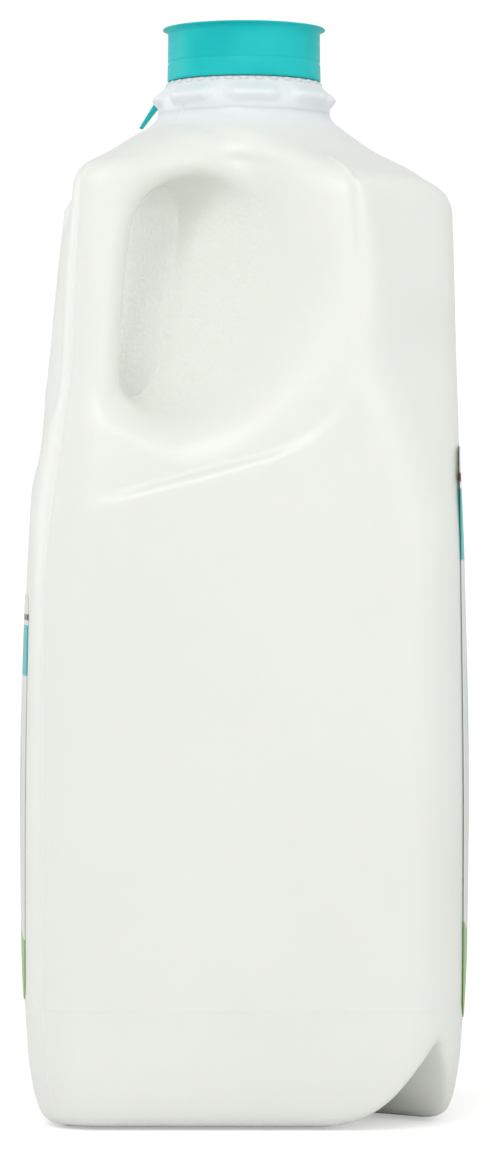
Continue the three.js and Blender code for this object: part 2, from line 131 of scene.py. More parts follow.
# Root of the neck: a steep cone on a shallow one, each between a (radius, height) and the next
NECK_RADIUS = 19.9
NECK_ROOT = [(19.9, 228.4), (23.6, 225.2), (30.0, 221.0)]
NECK_ROOT_TOP = 231.5
NECK_ROOT_BOTTOM = 216
NECK_ROOT_EDGE = 1
NECK_STEM_INSET = 0.1
CONE_BLEND = 2
STEM_BLEND = 1.5
NECK_ROOT_BLEND = 3

# Seam round the whole body where the halves of the mould met
SEAM_HEIGHT = 0.25
SEAM_HALF_WIDTH = 0.5

# Base: an arch from side corner to side corner leaves a foot on the handle side and one on the rear side
ARCH_HEIGHT_MIDDLE = 5
ARCH_HEIGHT_RISE = 14
ARCH_REACH = 60
ARCH_SLOPE_HANDLE_SIDE = 1.2
ARCH_SLOPE_REAR_SIDE = 1.7
ARCH_TIP_ROUNDING = 1
ARCH_ROUNDING = 9
ARCH_EDGE_ROUNDING = 2

# Grid on which the skin is meshed, finer across the mould's seam
CELL = 1.4
SKIN_STOPS = [
    [(-66, CELL), (-14, 0.9), (-2, CELL), (66, CELL)],
    [(-66, CELL), (-1.5, 0.3), (1.5, CELL), (66, CELL)],
    [(-3, CELL), (140, 1.0), (233, CELL)],
]
GRADIENT_STEP = 0.02
LEAST_STEEPNESS = 0.05

# Pebble grain: it starts at this depth under the outer form and is full after the fade
GRAIN_START = 1.5
GRAIN_FADE = 22


def curve_through(points):
    """A smooth curve through a few (height, value) points, without overshoot."""
    heights, values = np.array(points, float).T
    slope = np.diff(values) / np.diff(heights)
    before = np.append(slope[:1], slope)
    after = np.append(slope, slope[-1:])
    turning = before * after <= 0
    tangent = np.where(turning, 0, 2 * before * after / np.where(turning, 1, before + after))

    def value(z):
        z = np.clip(z, heights[0], heights[-1])
        i = np.clip(np.searchsorted(heights, z, side="right") - 1, 0, len(heights) - 2)
        step = heights[i + 1] - heights[i]
        t = (z - heights[i]) / step
        s = t * t * (3 - 2 * t)
        bend = t * (1 - t) * step * (tangent[i] * (1 - t) - tangent[i + 1] * t)
        return values[i] * (1 - s) + values[i + 1] * s + bend

    return value


face_edge = curve_through(FACE_EDGE)
face_swell = curve_through(FACE_SWELL)
handle_corner = curve_through(HANDLE_CORNER)
side_corner = curve_through(SIDE_CORNER)
rear_corner = curve_through(REAR_CORNER)
sunk_at_handle = curve_through(SUNK_AT_HANDLE)
sunk_at_side = curve_through(SUNK_AT_SIDE)
recess_wall = curve_through(RECESS_WALL)
grip_inner = curve_through(GRIP_INNER)
arm_half_width = curve_through(ARM_HALF_WIDTH)
dish_depth = curve_through(DISH_DEPTH)
ledge_face_flatness = curve_through(LEDGE_FACE_FLATNESS)


def joined(a, b, width):
    """Two solids as one, rounded where they meet over about the given width."""
    return np.minimum(a, b) - np.maximum(width - np.abs(a - b), 0) ** 2 / (4 * width)


def trimmed(a, b, width):
    """What two solids share, its edge rounded over about the given width."""
    return -joined(-a, -b, width)


def trimmed_by_all(solids, width):
    return functools.reduce(lambda a, b: trimmed(a, b, width), solids)


def smooth_step(t):
    t = np.clip(t, 0, 1)
    return t * t * (3 - 2 * t)


def mix(a, b, share):
    return a + (b - a) * share


def plain_face(across, z):
    """Distance of the two faces that carry no handle, with across measured along the face."""
    return face_edge(z) + face_swell(z) * (1 - (across / FACE_HALF_SPAN) ** 2)


def under_ledge(across, z):
    """The part of a face beside the handle that carries the label, a little flatter near the ledge."""
    return plain_face(across, z) - ledge_face_flatness(z)


def ledge_face(across, z):
    """A face beside the handle: across runs from the handle to the side corner."""
    span = (across - SUNK_SPAN[0]) / (SUNK_SPAN[1] - SUNK_SPAN[0])
    sunk = mix(sunk_at_handle(z), sunk_at_side(z), smooth_step(span))
    below = (LEDGE_HEIGHT + LEDGE_SLOPE * across - z) / math.hypot(1, LEDGE_SLOPE)
    inside = -trimmed(below, across - LEDGE_END, LEDGE_TURN)
    return mix(under_ledge(across, z), sunk, smooth_step(inside / LEDGE_STEP))


def shoulder_plane(distance, z, plane):
    start, height, slope = plane
    return (z - height + slope * (distance - start)) / math.hypot(1, slope)


def neck_root(x, y, z):
    """The flared root of the neck, two cones round the foot of its stem."""
    radius = np.hypot(x, y)
    cones = []
    for (top_radius, top), (bottom_radius, bottom) in zip(NECK_ROOT, NECK_ROOT[1:]):
        run, drop = bottom_radius - top_radius, top - bottom
        cones.append(((radius - top_radius) * drop + (z - top) * run) / math.hypot(run, drop))
    flared = joined(joined(*cones, CONE_BLEND), radius - NECK_RADIUS + NECK_STEM_INSET, STEM_BLEND)
    return trimmed_by_all([flared, z - NECK_ROOT_TOP, NECK_ROOT_BOTTOM - z], NECK_ROOT_EDGE)


def outer_form(x, y, z):
    """The closed outer form, as if there were no gap behind the handle."""
    front, left = -(x + y) * DIAGONAL, (y - x) * DIAGONAL
    faces = trimmed_by_all([
        front - ledge_face(-left, z), left - ledge_face(-front, z),
        -left - plain_face(front, z), -front - plain_face(left, z),
    ], FACE_ROUNDING)
    corners = np.maximum(np.maximum(-x - handle_corner(z), x - rear_corner(z)), np.abs(y) - side_corner(z))
    raised = SHOULDER_TOP + ARM_RISE * smooth_step(-(x + NECK_RADIUS) / ARM_RISE)
    shoulder = trimmed_by_all([
        shoulder_plane(-left, z, PLAIN_SHOULDER), shoulder_plane(-front, z, PLAIN_SHOULDER),
        shoulder_plane(np.abs(y), z, CORNER_SHOULDER), shoulder_plane(x, z, CORNER_SHOULDER),
        shoulder_plane(-x, z, ARM_SHOULDER), z - raised,
        shoulder_plane(np.maximum(front, left), z, FRONT_SHOULDER),
    ], SHOULDER_PLANE_BLEND)
    sides = trimmed(faces, corners, CORNER_ROUNDING)
    block = trimmed(trimmed(sides, shoulder, SHOULDER_ROUNDING), -z, FOOT_ROUNDING)
    return joined(block, neck_root(x, y, z), NECK_ROOT_BLEND)


def behind_recess(x, y, z):
    """What the finger recess leaves of the body: a wall that turns to the front, a floor and a rim."""
    off_plane = np.abs(y)
    across, out = (x + off_plane) * DIAGONAL, (off_plane - x) * DIAGONAL
    pinch = PINCH_RIDGE_HEIGHT * (1 - smooth_step(off_plane / PINCH_RIDGE_HALF_WIDTH))
    wall = recess_wall(z) + RECESS_DRAFT * off_plane - pinch - x
    dish = trimmed(wall, out - sunk_at_side(z) + dish_depth(z), WALL_TURN)
    floor = (z - RECESS_FLOOR + RECESS_FALL * off_plane) / math.hypot(1, RECESS_FALL)
    start, height, rise, lean = DISH_CORNER
    corner = z - height - rise * (across - start) + lean * (out - sunk_at_side(z))
    rim = joined(corner / math.hypot(1, rise, lean), DISH_SIDE - x, DISH_BLEND)
    return joined(dish, joined(floor, rim, DISH_BLEND), DISH_BLEND)


def before_recess(x, y, z):
    """What it leaves of the handle: an upright bar and the arm from its top to the neck's root."""
    front, left = -(x + y) * DIAGONAL, (y - x) * DIAGONAL
    bar = trimmed(grip_inner(z) - front, grip_inner(z) - left, GRIP_ROUNDING)
    width = np.abs(y) - arm_half_width(x) - np.maximum(ARM_WIDTH_FROM - z, 0) * ARM_SPREAD
    return trimmed(joined(bar, ARM_UNDERSIDE - z, ARM_BLEND), width, ARM_EDGE_ROUNDING)


def arch_roof(x, y):
    """Height of the arch under the body."""
    peak = ARCH_HEIGHT_MIDDLE + ARCH_HEIGHT_RISE * (y / ARCH_REACH) ** 2
    slope = np.where(x < 0, ARCH_SLOPE_HANDLE_SIDE, ARCH_SLOPE_REAR_SIDE)
    off_ridge = np.hypot(x, ARCH_TIP_ROUNDING) - ARCH_TIP_ROUNDING
    return np.maximum(trimmed(peak - slope * off_ridge, 0, ARCH_ROUNDING), 0)


def shoulder_rib(x, y, z):
    """How far the thin rib on each side shoulder stands up, beside the edge of the face."""
    across, out = (x + np.abs(y)) * DIAGONAL, (np.abs(y) - x) * DIAGONAL
    run, climb = RIB_END[0] - RIB_START[0], RIB_END[1] - RIB_START[1]
    length = math.hypot(run, climb)
    along = ((across - RIB_START[0]) * run + (out - RIB_START[1]) * climb) / length
    aside = ((across - RIB_START[0]) * climb - (out - RIB_START[1]) * run) / length
    ends = smooth_step(along / RIB_RUN_OUT) * smooth_step((length - along) / RIB_RUN_OUT)
    return RIB_HEIGHT * ends * (z > RECESS_FLOOR) * (1 - smooth_step(np.abs(aside) / RIB_HALF_WIDTH))


def jug_form(x, y, z):
    """The whole jug below the lobes of its neck."""
    kept = joined(behind_recess(x, y, z), before_recess(x, y, z), ROOT_BLEND)
    whole = trimmed(outer_form(x, y, z), kept, RIM_ROUNDING)
    seam = SEAM_HEIGHT * (1 - smooth_step(np.abs(y) / SEAM_HALF_WIDTH))
    return trimmed(whole - seam - shoulder_rib(x, y, z), arch_roof(x, y) - z, ARCH_EDGE_ROUNDING)


def gradient(form, points):
    """How fast the form grows at each point, by small steps each way."""
    slopes = []
    for axis in range(3):
        offset = np.zeros(3)
        offset[axis] = GRADIENT_STEP
        slopes.append((form(*(points + offset).T) - form(*(points - offset).T)) / (2 * GRADIENT_STEP))
    return np.stack(slopes, axis=1)


def settle(form, points, rounds=4):
    """Moves points straight onto the surface of a form."""
    for _ in range(rounds):
        slope = gradient(form, points)
        steepness = np.maximum((slope ** 2).sum(axis=1), LEAST_STEEPNESS)
        move = slope * (form(*points.T) / steepness)[:, None]
        length = np.linalg.norm(move, axis=1, keepdims=True)
        points = points - move * np.minimum(1, CELL / np.maximum(length, 1e-9))
    return points


def graded_axis(stops):
    """Places along an axis: each stop gives where a stretch starts and the step along it."""
    stretches = [
        np.arange(start, end - step / 3, step)
        for (start, step), (end, _) in zip(stops, stops[1:])
    ]
    return np.append(np.concatenate(stretches), stops[-1][0])


def around_edges(spot, axis, pairs):
    """The four grid cells round each crossed grid edge, one row of cells for each (before, after) pair."""
    across = [k for k in range(3) if k != axis]
    for pair in pairs:
        cells = spot.copy()
        cells[:, across] -= pair
        yield cells


def grid_surface(form, axes):
    """Quads over the surface of a form, one corner in each grid cell that the surface crosses."""
    value = form(*np.meshgrid(*axes, indexing="ij"))
    inside = value < 0
    cell_shape = [n - 1 for n in value.shape]
    total, count, edges = np.zeros(cell_shape + [3]), np.zeros(cell_shape), []
    for axis in range(3):
        near = inside.take(range(value.shape[axis] - 1), axis)
        far = inside.take(range(1, value.shape[axis]), axis)
        spot = np.argwhere(near != far)
        beyond = spot.copy()
        beyond[:, axis] += 1
        start, end = value[tuple(spot.T)], value[tuple(beyond.T)]
        place = spot.astype(float)
        place[:, axis] += start / (start - end)
        for cells in around_edges(spot, axis, ((0, 0), (0, 1), (1, 0), (1, 1))):
            np.add.at(total, tuple(cells.T), place)
            np.add.at(count, tuple(cells.T), 1)
        edges.append((axis, spot, near[tuple(spot.T)]))
    used = tuple(np.argwhere(count > 0).T)
    number = np.full(cell_shape, -1)
    number[used] = np.arange(len(used[0]))
    mean = total[used] / count[used][:, None]
    points = np.stack([np.interp(mean[:, k], np.arange(len(axes[k])), axes[k]) for k in range(3)], axis=1)
    quads = []
    for axis, spot, leaving in edges:
        ring = np.stack([number[tuple(cells.T)] for cells in
                         around_edges(spot, axis, ((1, 1), (0, 1), (0, 0), (1, 0)))], axis=1)
        outwards = leaving if axis != 1 else ~leaving
        quads.append(np.where(outwards[:, None], ring, ring[:, ::-1]))
    return points, np.concatenate(quads)


def mesh_object(name, points, *face_groups):
    """A smooth mesh piece from points in millimetres; the faces of one group have equally many corners."""
    mesh = bpy.data.meshes.new(name)
    corners = np.concatenate([group.ravel() for group in face_groups]).astype(np.int32)
    sizes = np.concatenate([np.full(len(group), group.shape[1]) for group in face_groups])
    mesh.vertices.add(len(points))
    mesh.vertices.foreach_set("co", (np.asarray(points) * MM).ravel())
    mesh.loops.add(len(corners))
    mesh.loops.foreach_set("vertex_index", corners)
    mesh.polygons.add(len(sizes))
    mesh.polygons.foreach_set("loop_start", np.append(0, np.cumsum(sizes)[:-1]).astype(np.int32))
    mesh.update(calc_edges=True)
    mesh.validate()
    mesh.shade_smooth()
    piece = bpy.data.objects.new(name, mesh)
    bpy.context.scene.collection.objects.link(piece)
    return piece


def turn_outwards(piece):
    """Makes the faces of a closed piece point outwards."""
    shell = bmesh.new()
    shell.from_mesh(piece.data)
    bmesh.ops.recalc_face_normals(shell, faces=shell.faces)
    shell.to_mesh(piece.data)
    shell.free()


def jug_skin():
    """The jug's skin, with the share of pebble grain at each point."""
    points, quads = grid_surface(jug_form, [graded_axis(stops) for stops in SKIN_STOPS])
    points = settle(jug_form, points)
    skin = mesh_object("jug_skin", points, quads)
    depth = -outer_form(*points.T)
    grain = skin.data.attributes.new("grain", "FLOAT", "POINT")
    grain.data.foreach_set("value", smooth_step((depth - GRAIN_START) / GRAIN_FADE).astype(np.float32))
    return skin


# Neck finish: eight lobes round the plain neck, the cone above them, a row of teeth and the spout
LOBES = 8
LOBE_HALF_WIDTH_DEG = 20
LOBE_TURN_DEG = 6
LOBE_SIDE_STEEPNESS = 2.2
LOBE_RELIEF = 1.5
LOBE_BOTTOM = 230.9
LOBE_PEAK = 233.4
LOBE_TOP = 235.9
NECK_BOTTOM = 227.6
NECK_TOP = 232.6
SPOUT_BASE_RADIUS = 17.5
SPOUT_BASE = 237.2
SPOUT_RADIUS = 16.2
SPOUT_TOP = 247.4
SPOUT_LIP = 0.4
NECK_ROW_STEP = 0.2
NECK_SEGMENTS = 320
TEETH = 32
TOOTH_RING_RADIUS = 17.75
TOOTH_HEIGHT = 236.7
TOOTH_SIZE = (0.9, 2.2, 1.1)


def ring_grid(radii, heights, segments, relief=None):
    """Points and faces of a closed turned surface; relief(angle, height) adds to its radius."""
    angles = np.arange(segments) * 2 * math.pi / segments
    angle, radius = np.meshgrid(angles, radii)
    height = np.meshgrid(angles, heights)[1]
    if relief is not None:
        radius = radius + relief(angle, height)
    points = np.stack([radius * np.cos(angle), radius * np.sin(angle), height], axis=2).reshape(-1, 3)
    row, column = np.meshgrid(np.arange(len(radii) - 1), np.arange(segments), indexing="ij")
    a, b = (row * segments + column).ravel(), (row * segments + (column + 1) % segments).ravel()
    quads = np.stack([a, b, b + segments, a + segments], axis=1)
    poles = np.array([[0, 0, heights[0]], [0, 0, heights[-1]]])
    last = (len(radii) - 1) * segments
    turn = np.arange(segments)
    following = (turn + 1) % segments
    low = np.stack([following, turn, np.full(segments, len(points))], axis=1)
    high = np.stack([last + turn, last + following, np.full(segments, len(points) + 1)], axis=1)
    return np.concatenate([points, poles]), quads, np.concatenate([low, high])


def lobe_relief(angle, z):
    """How far the lobes stand out, one towards each face and each corner."""
    pitch = 2 * math.pi / LOBES
    offset = np.abs((angle - math.radians(LOBE_TURN_DEG) + pitch / 2) % pitch - pitch / 2)
    side = smooth_step(LOBE_SIDE_STEEPNESS * (1 - offset / math.radians(LOBE_HALF_WIDTH_DEG)))
    rise = smooth_step((z - LOBE_BOTTOM) / (LOBE_PEAK - LOBE_BOTTOM))
    fall = 1 - smooth_step((z - LOBE_PEAK) / (LOBE_TOP - LOBE_PEAK))
    return LOBE_RELIEF * side * rise * fall


def neck_finish():
    """The neck above its root, with its lobes, and the spout inside the cap."""
    neck = np.array([(NECK_RADIUS, z) for z in np.arange(NECK_BOTTOM, NECK_TOP, NECK_ROW_STEP)])
    cone = bezier((NECK_RADIUS, NECK_TOP), (NECK_RADIUS - 0.1, NECK_TOP + 1.6),
                  (SPOUT_BASE_RADIUS, SPOUT_BASE), np.linspace(0, 1, 24))
    spout = np.array([
        (SPOUT_RADIUS, SPOUT_BASE + 0.3), (SPOUT_RADIUS, SPOUT_TOP - SPOUT_LIP),
        (SPOUT_RADIUS - SPOUT_LIP, SPOUT_TOP),
    ])
    profile = np.concatenate([neck, cone, spout])
    return mesh_object("neck_finish", *ring_grid(profile[:, 0], profile[:, 1], NECK_SEGMENTS, lobe_relief))


def teeth_tree(material):
    """Geometry nodes that set small rounded teeth on a ring, all with the same pitch."""
    tree = bpy.data.node_groups.new("teeth_ring", "GeometryNodeTree")
    tree.interface.new_socket("Geometry", in_out="OUTPUT", socket_type="NodeSocketGeometry")
    for name, kind in (("Teeth", "NodeSocketInt"), ("Ring radius", "NodeSocketFloat"),
                       ("Ring height", "NodeSocketFloat"), ("Tooth size", "NodeSocketVector")):
        tree.interface.new_socket(name, in_out="INPUT", socket_type=kind)
    given = tree.nodes.new("NodeGroupInput").outputs
    ring = tree.nodes.new("GeometryNodeMeshCircle")
    tree.links.new(given["Teeth"], ring.inputs["Vertices"])
    tree.links.new(given["Ring radius"], ring.inputs["Radius"])
    tooth = tree.nodes.new("GeometryNodeMeshIcoSphere")
    tooth.inputs["Subdivisions"].default_value = 3
    tooth.inputs["Radius"].default_value = 0.5
    sized = tree.nodes.new("GeometryNodeTransform")
    tree.links.new(tooth.outputs["Mesh"], sized.inputs["Geometry"])
    tree.links.new(given["Tooth size"], sized.inputs["Scale"])
    facing = tree.nodes.new("FunctionNodeAlignRotationToVector")
    tree.links.new(tree.nodes.new("GeometryNodeInputPosition").outputs["Position"], facing.inputs["Vector"])
    facing.axis = "X"
    facing.pivot_axis = "Z"
    placed = tree.nodes.new("GeometryNodeInstanceOnPoints")
    tree.links.new(ring.outputs["Mesh"], placed.inputs["Points"])
    tree.links.new(sized.outputs["Geometry"], placed.inputs["Instance"])
    tree.links.new(facing.outputs["Rotation"], placed.inputs["Rotation"])
    raised = tree.nodes.new("GeometryNodeTransform")
    lift = tree.nodes.new("ShaderNodeCombineXYZ")
    tree.links.new(given["Ring height"], lift.inputs["Z"])
    tree.links.new(lift.outputs["Vector"], raised.inputs["Translation"])
    tree.links.new(placed.outputs["Instances"], raised.inputs["Geometry"])
    real = tree.nodes.new("GeometryNodeRealizeInstances")
    tree.links.new(raised.outputs["Geometry"], real.inputs["Geometry"])
    painted = tree.nodes.new("GeometryNodeSetMaterial")
    painted.inputs["Material"].default_value = material
    tree.links.new(real.outputs["Geometry"], painted.inputs["Geometry"])
    tree.links.new(painted.outputs["Geometry"], tree.nodes.new("NodeGroupOutput").inputs["Geometry"])
    return tree


def neck_teeth(material):
    """The row of teeth that the cap's lower edge snaps over."""
    maker = bpy.data.objects.new("teeth_maker", bpy.data.meshes.new("teeth_maker"))
    bpy.context.scene.collection.objects.link(maker)
    tree = teeth_tree(material)
    modifier = maker.modifiers.new("teeth", "NODES")
    modifier.node_group = tree
    values = {
        "Teeth": TEETH, "Ring radius": TOOTH_RING_RADIUS * MM, "Ring height": TOOTH_HEIGHT * MM,
        "Tooth size": tuple(length * MM for length in TOOTH_SIZE),
    }
    for socket in tree.interface.items_tree:
        if socket.name in values:
            modifier[socket.identifier] = values[socket.name]
    evaluated = maker.evaluated_get(bpy.context.evaluated_depsgraph_get())
    mesh = bpy.data.meshes.new_from_object(evaluated)
    bpy.data.objects.remove(maker)
    mesh.shade_smooth()
    teeth = bpy.data.objects.new("neck_teeth", mesh)
    bpy.context.scene.collection.objects.link(teeth)
    return teeth


# Cap: skirt with a tear line, and a thin rim that flares out at the top round a sunk panel
CAP_BOTTOM = 237.5
CAP_TOP = 249.8
CAP_WALL = 1.1
CAP_SEGMENTS = 192
SKIRT_RADIUS_BOTTOM = 17.75
SKIRT_RADIUS_TOP = 17.6
SKIRT_EDGE = 0.15
RIM_RADIUS = 18.8
RIM_HEIGHT = 1.4
PANEL_DEPTH = 0.9
PANEL_UNDERSIDE = 1.9

# Groove of the tear line as (radius, rise from the line); lip of the rim as (out, rise) from its top edge
TEAR_LINE = 241.8
TEAR_GROOVE = [(17.7, -0.5), (17.62, -0.3), (17.5, -0.08), (17.5, 0.08), (17.62, 0.3), (17.66, 0.5)]
RIM_LIP = [(0, -0.2), (-0.12, -0.04), (-0.3, 0), (-1.1, -0.15), (-1.6, -0.5), (-2.1, -0.82)]

# Pull tab of the tear band: its path as (radius, height), and its section at the root and the tip
TAB_DIRECTION_DEG = 110
TAB_ROOT = (SKIRT_RADIUS_BOTTOM - 0.5, CAP_BOTTOM + 0.7)
TAB_BEND = (20.8, 235.6)
TAB_TIP = (26.6, 227.9)
TAB_WIDTH = 5
TAB_TIP_WIDTH = 1.6
TAB_THICKNESS = 1.2
TAB_TIP_THICKNESS = 0.4
TAB_SQUARENESS = 0.35
TAB_ROWS = 24
TAB_CORNERS = 16


def bezier(start, control, end, t):
    """Points on a curve that bends once, towards its control point."""
    start, control, end = (np.array(p, float) for p in (start, control, end))
    t = np.asarray(t)[:, None]
    return start * (1 - t) ** 2 + 2 * control * t * (1 - t) + end * t ** 2


def cap_profile():
    """Half section of the cap, from the panel's underside round the skirt to the panel's top."""
    inner = SKIRT_RADIUS_BOTTOM - CAP_WALL
    rim = bezier((SKIRT_RADIUS_TOP, CAP_TOP - RIM_HEIGHT), (SKIRT_RADIUS_TOP + 0.2, CAP_TOP - 0.6),
                 (RIM_RADIUS, CAP_TOP - 0.35), np.linspace(0, 1, 10))
    under = [
        (4, CAP_TOP - PANEL_UNDERSIDE), (inner - 0.3, CAP_TOP - PANEL_UNDERSIDE),
        (inner, CAP_TOP - PANEL_UNDERSIDE - 0.4), (inner, CAP_BOTTOM + 0.1),
    ]
    skirt = [
        (inner + SKIRT_EDGE, CAP_BOTTOM), (SKIRT_RADIUS_BOTTOM - SKIRT_EDGE, CAP_BOTTOM),
        (SKIRT_RADIUS_BOTTOM, CAP_BOTTOM + SKIRT_EDGE), (SKIRT_RADIUS_BOTTOM, TAB_ROOT[1]),
    ]
    groove = [(radius, TEAR_LINE + rise) for radius, rise in TEAR_GROOVE]
    lip = [(RIM_RADIUS + out, CAP_TOP + rise) for out, rise in RIM_LIP]
    panel = [(RIM_RADIUS - 2.5, CAP_TOP - PANEL_DEPTH), (8, CAP_TOP - PANEL_DEPTH)]
    return np.array(under + skirt + groove + [tuple(point) for point in rim] + lip + panel)


def cap_shell():
    profile = cap_profile()
    shell = mesh_object("cap_shell", *ring_grid(profile[:, 0], profile[:, 1], CAP_SEGMENTS))
    turn_outwards(shell)
    return shell


def tube_object(name, rings):
    """A closed piece through rings of points; each end is a strip between the two halves of its ring."""
    rows, count = rings.shape[:2]
    row, column = np.meshgrid(np.arange(rows - 1), np.arange(count), indexing="ij")
    a, b = (row * count + column).ravel(), (row * count + (column + 1) % count).ravel()
    side = np.stack([a, b, b + count, a + count], axis=1)
    first = np.arange(count // 2 - 1)
    strip = np.stack([first, first + 1, count - 2 - first, count - 1 - first], axis=1)
    ends = np.concatenate([strip[:, ::-1], strip + (rows - 1) * count])
    piece = mesh_object(name, rings.reshape(-1, 3), side, ends)
    turn_outwards(piece)
    return piece


def pull_tab():
    """A thin tapering tongue from the skirt's lower edge, out over the lobes and down."""
    t = np.linspace(0, 1, TAB_ROWS)
    path = bezier(TAB_ROOT, TAB_BEND, TAB_TIP, t)
    tangent = np.gradient(path, axis=0)
    tangent /= np.linalg.norm(tangent, axis=1, keepdims=True)
    turn = np.linspace(0, 2 * math.pi, TAB_CORNERS, endpoint=False)
    side = np.sign(np.cos(turn)) * np.abs(np.cos(turn)) ** TAB_SQUARENESS
    off = np.sign(np.sin(turn)) * np.abs(np.sin(turn)) ** TAB_SQUARENESS
    width = mix(TAB_WIDTH, TAB_TIP_WIDTH, t)[:, None] / 2 * side
    thick = mix(TAB_THICKNESS, TAB_TIP_THICKNESS, t)[:, None] / 2 * off
    radius = path[:, :1] - tangent[:, 1:] * thick
    height = path[:, 1:] + tangent[:, :1] * thick
    heading = math.radians(TAB_DIRECTION_DEG)
    x = radius * math.cos(heading) - width * math.sin(heading)
    y = radius * math.sin(heading) + width * math.cos(heading)
    return tube_object("pull_tab", np.stack([x, y, height], axis=2))


# Labels: thin films on the two faces beside the front one
LABEL_GAP = 0.02
LABEL_THICKNESS = 0.22
LABEL_HALF_WIDTH = 36
LABEL_CORNER = 5
LABEL_COLUMNS = 48
LABEL_ROWS = 96
PLAIN_LABEL_HEIGHTS = (24, 152.5)
LEDGE_LABEL_HEIGHTS = (28, 119)


def label_film(name, sheet, outward, heights):
    """A film on a sheet of a face, with its outward direction given, round corners and its own UV."""
    across = (-outward[1], outward[0])
    middle, half = (heights[0] + heights[1]) / 2, (heights[1] - heights[0]) / 2
    z = middle + half * np.sin(np.linspace(-math.pi / 2, math.pi / 2, LABEL_ROWS + 1))
    into_corner = np.maximum(np.abs(z - middle) - (half - LABEL_CORNER), 0)
    corner_reach = np.sqrt(np.maximum(LABEL_CORNER ** 2 - into_corner ** 2, 0))
    half_width = LABEL_HALF_WIDTH - LABEL_CORNER + corner_reach
    t = half_width[:, None] * np.linspace(-1, 1, LABEL_COLUMNS + 1)[None, :]
    z = np.repeat(z[:, None], LABEL_COLUMNS + 1, axis=1)
    sheets = []
    for lift in (LABEL_GAP + LABEL_THICKNESS, LABEL_GAP):
        distance = sheet(t, z) + lift
        x = across[0] * t + outward[0] * distance
        y = across[1] * t + outward[1] * distance
        sheets.append(np.stack([x, y, z], axis=2))
    points = np.concatenate([sheets[0], sheets[1][:, ::-1]], axis=1)
    film = tube_object(name, points)
    print_across = np.concatenate([t, t[:, ::-1]], axis=1).ravel() / (2 * LABEL_HALF_WIDTH) + 0.5
    print_up = (points[..., 2].ravel() - heights[0]) / (heights[1] - heights[0])
    corner = np.empty(len(film.data.loops), np.int32)
    film.data.loops.foreach_get("vertex_index", corner)
    uv = np.stack([print_across[corner], print_up[corner]], axis=1)
    film.data.uv_layers.new(name="print").uv.foreach_set("vector", uv.ravel())
    return film


# Materials: lengths inside shader nodes are metres


def new_material(name, color, roughness):
    """A Principled material with its plain numbers set, and its node tree."""
    material = bpy.data.materials.new(name)
    material.use_nodes = True
    shader = material.node_tree.nodes["Principled BSDF"]
    shader.inputs["Base Color"].default_value = (*color, 1)
    shader.inputs["Roughness"].default_value = roughness
    return material, material.node_tree, shader


def add_node(tree, kind, inputs=None, **settings):
    """A node with its settings, and for each input a number or the output that feeds it."""
    node = tree.nodes.new(kind)
    for name, value in settings.items():
        setattr(node, name, value)
    for name, value in (inputs or {}).items():
        if isinstance(value, bpy.types.NodeSocket):
            tree.links.new(value, node.inputs[name])
        else:
            node.inputs[name].default_value = value
    return node


def noise(tree, place, scale, detail=2.0, roughness=0.5):
    """Noise with a scale in cycles per metre."""
    inputs = {"Vector": place, "Scale": scale, "Detail": detail, "Roughness": roughness}
    return add_node(tree, "ShaderNodeTexNoise", inputs).outputs["Fac"]


def spread(tree, value, low, high, to_low=0.0, to_high=1.0, smooth=True):
    """A value between low and high carried over to the range from to_low to to_high."""
    inputs = {"Value": value, "From Min": low, "From Max": high, "To Min": to_low, "To Max": to_high}
    kind = "SMOOTHSTEP" if smooth else "LINEAR"
    return add_node(tree, "ShaderNodeMapRange", inputs, interpolation_type=kind).outputs["Result"]


def math_node(tree, operation, first, second):
    return add_node(tree, "ShaderNodeMath", {0: first, 1: second}, operation=operation).outputs[0]


def blend_colors(tree, share, first, second):
    """A share of the second colour over the first; each is a colour or an output."""
    node = add_node(tree, "ShaderNodeMix", {0: share}, data_type="RGBA")
    for socket, value in ((node.inputs[6], first), (node.inputs[7], second)):
        if isinstance(value, bpy.types.NodeSocket):
            tree.links.new(value, socket)
        else:
            socket.default_value = (*value, 1)
    return node.outputs[2]


def band(tree, value, low, high, edge=0.002):
    """One between two values, zero outside them."""
    rise = spread(tree, value, low - edge, low + edge)
    fall = spread(tree, value, high - edge, high + edge, 1.0, 0.0)
    return math_node(tree, "MULTIPLY", rise, fall)


def bump(tree, height, distance, strength=1.0, onto=None):
    """A normal tilted by a height field, on top of another bump where one is given."""
    inputs = {"Height": height, "Distance": distance, "Strength": strength}
    if onto is not None:
        inputs["Normal"] = onto
    return add_node(tree, "ShaderNodeBump", inputs).outputs["Normal"]


MILK_BEHIND_PLASTIC = (0.855, 0.872, 0.825)
MILK_MOTTLE = (0.84, 0.86, 0.805)
CLOUDY_PLASTIC = (0.83, 0.868, 0.882)
MILK_LEVEL = 0.2262
MOULD_LINE_HEIGHT = 0.0272
MOULD_LINE_HALF_WIDTH = 0.0004
PEBBLES_PER_METRE = 1250.0
PEBBLE_RELIEF = 0.0003


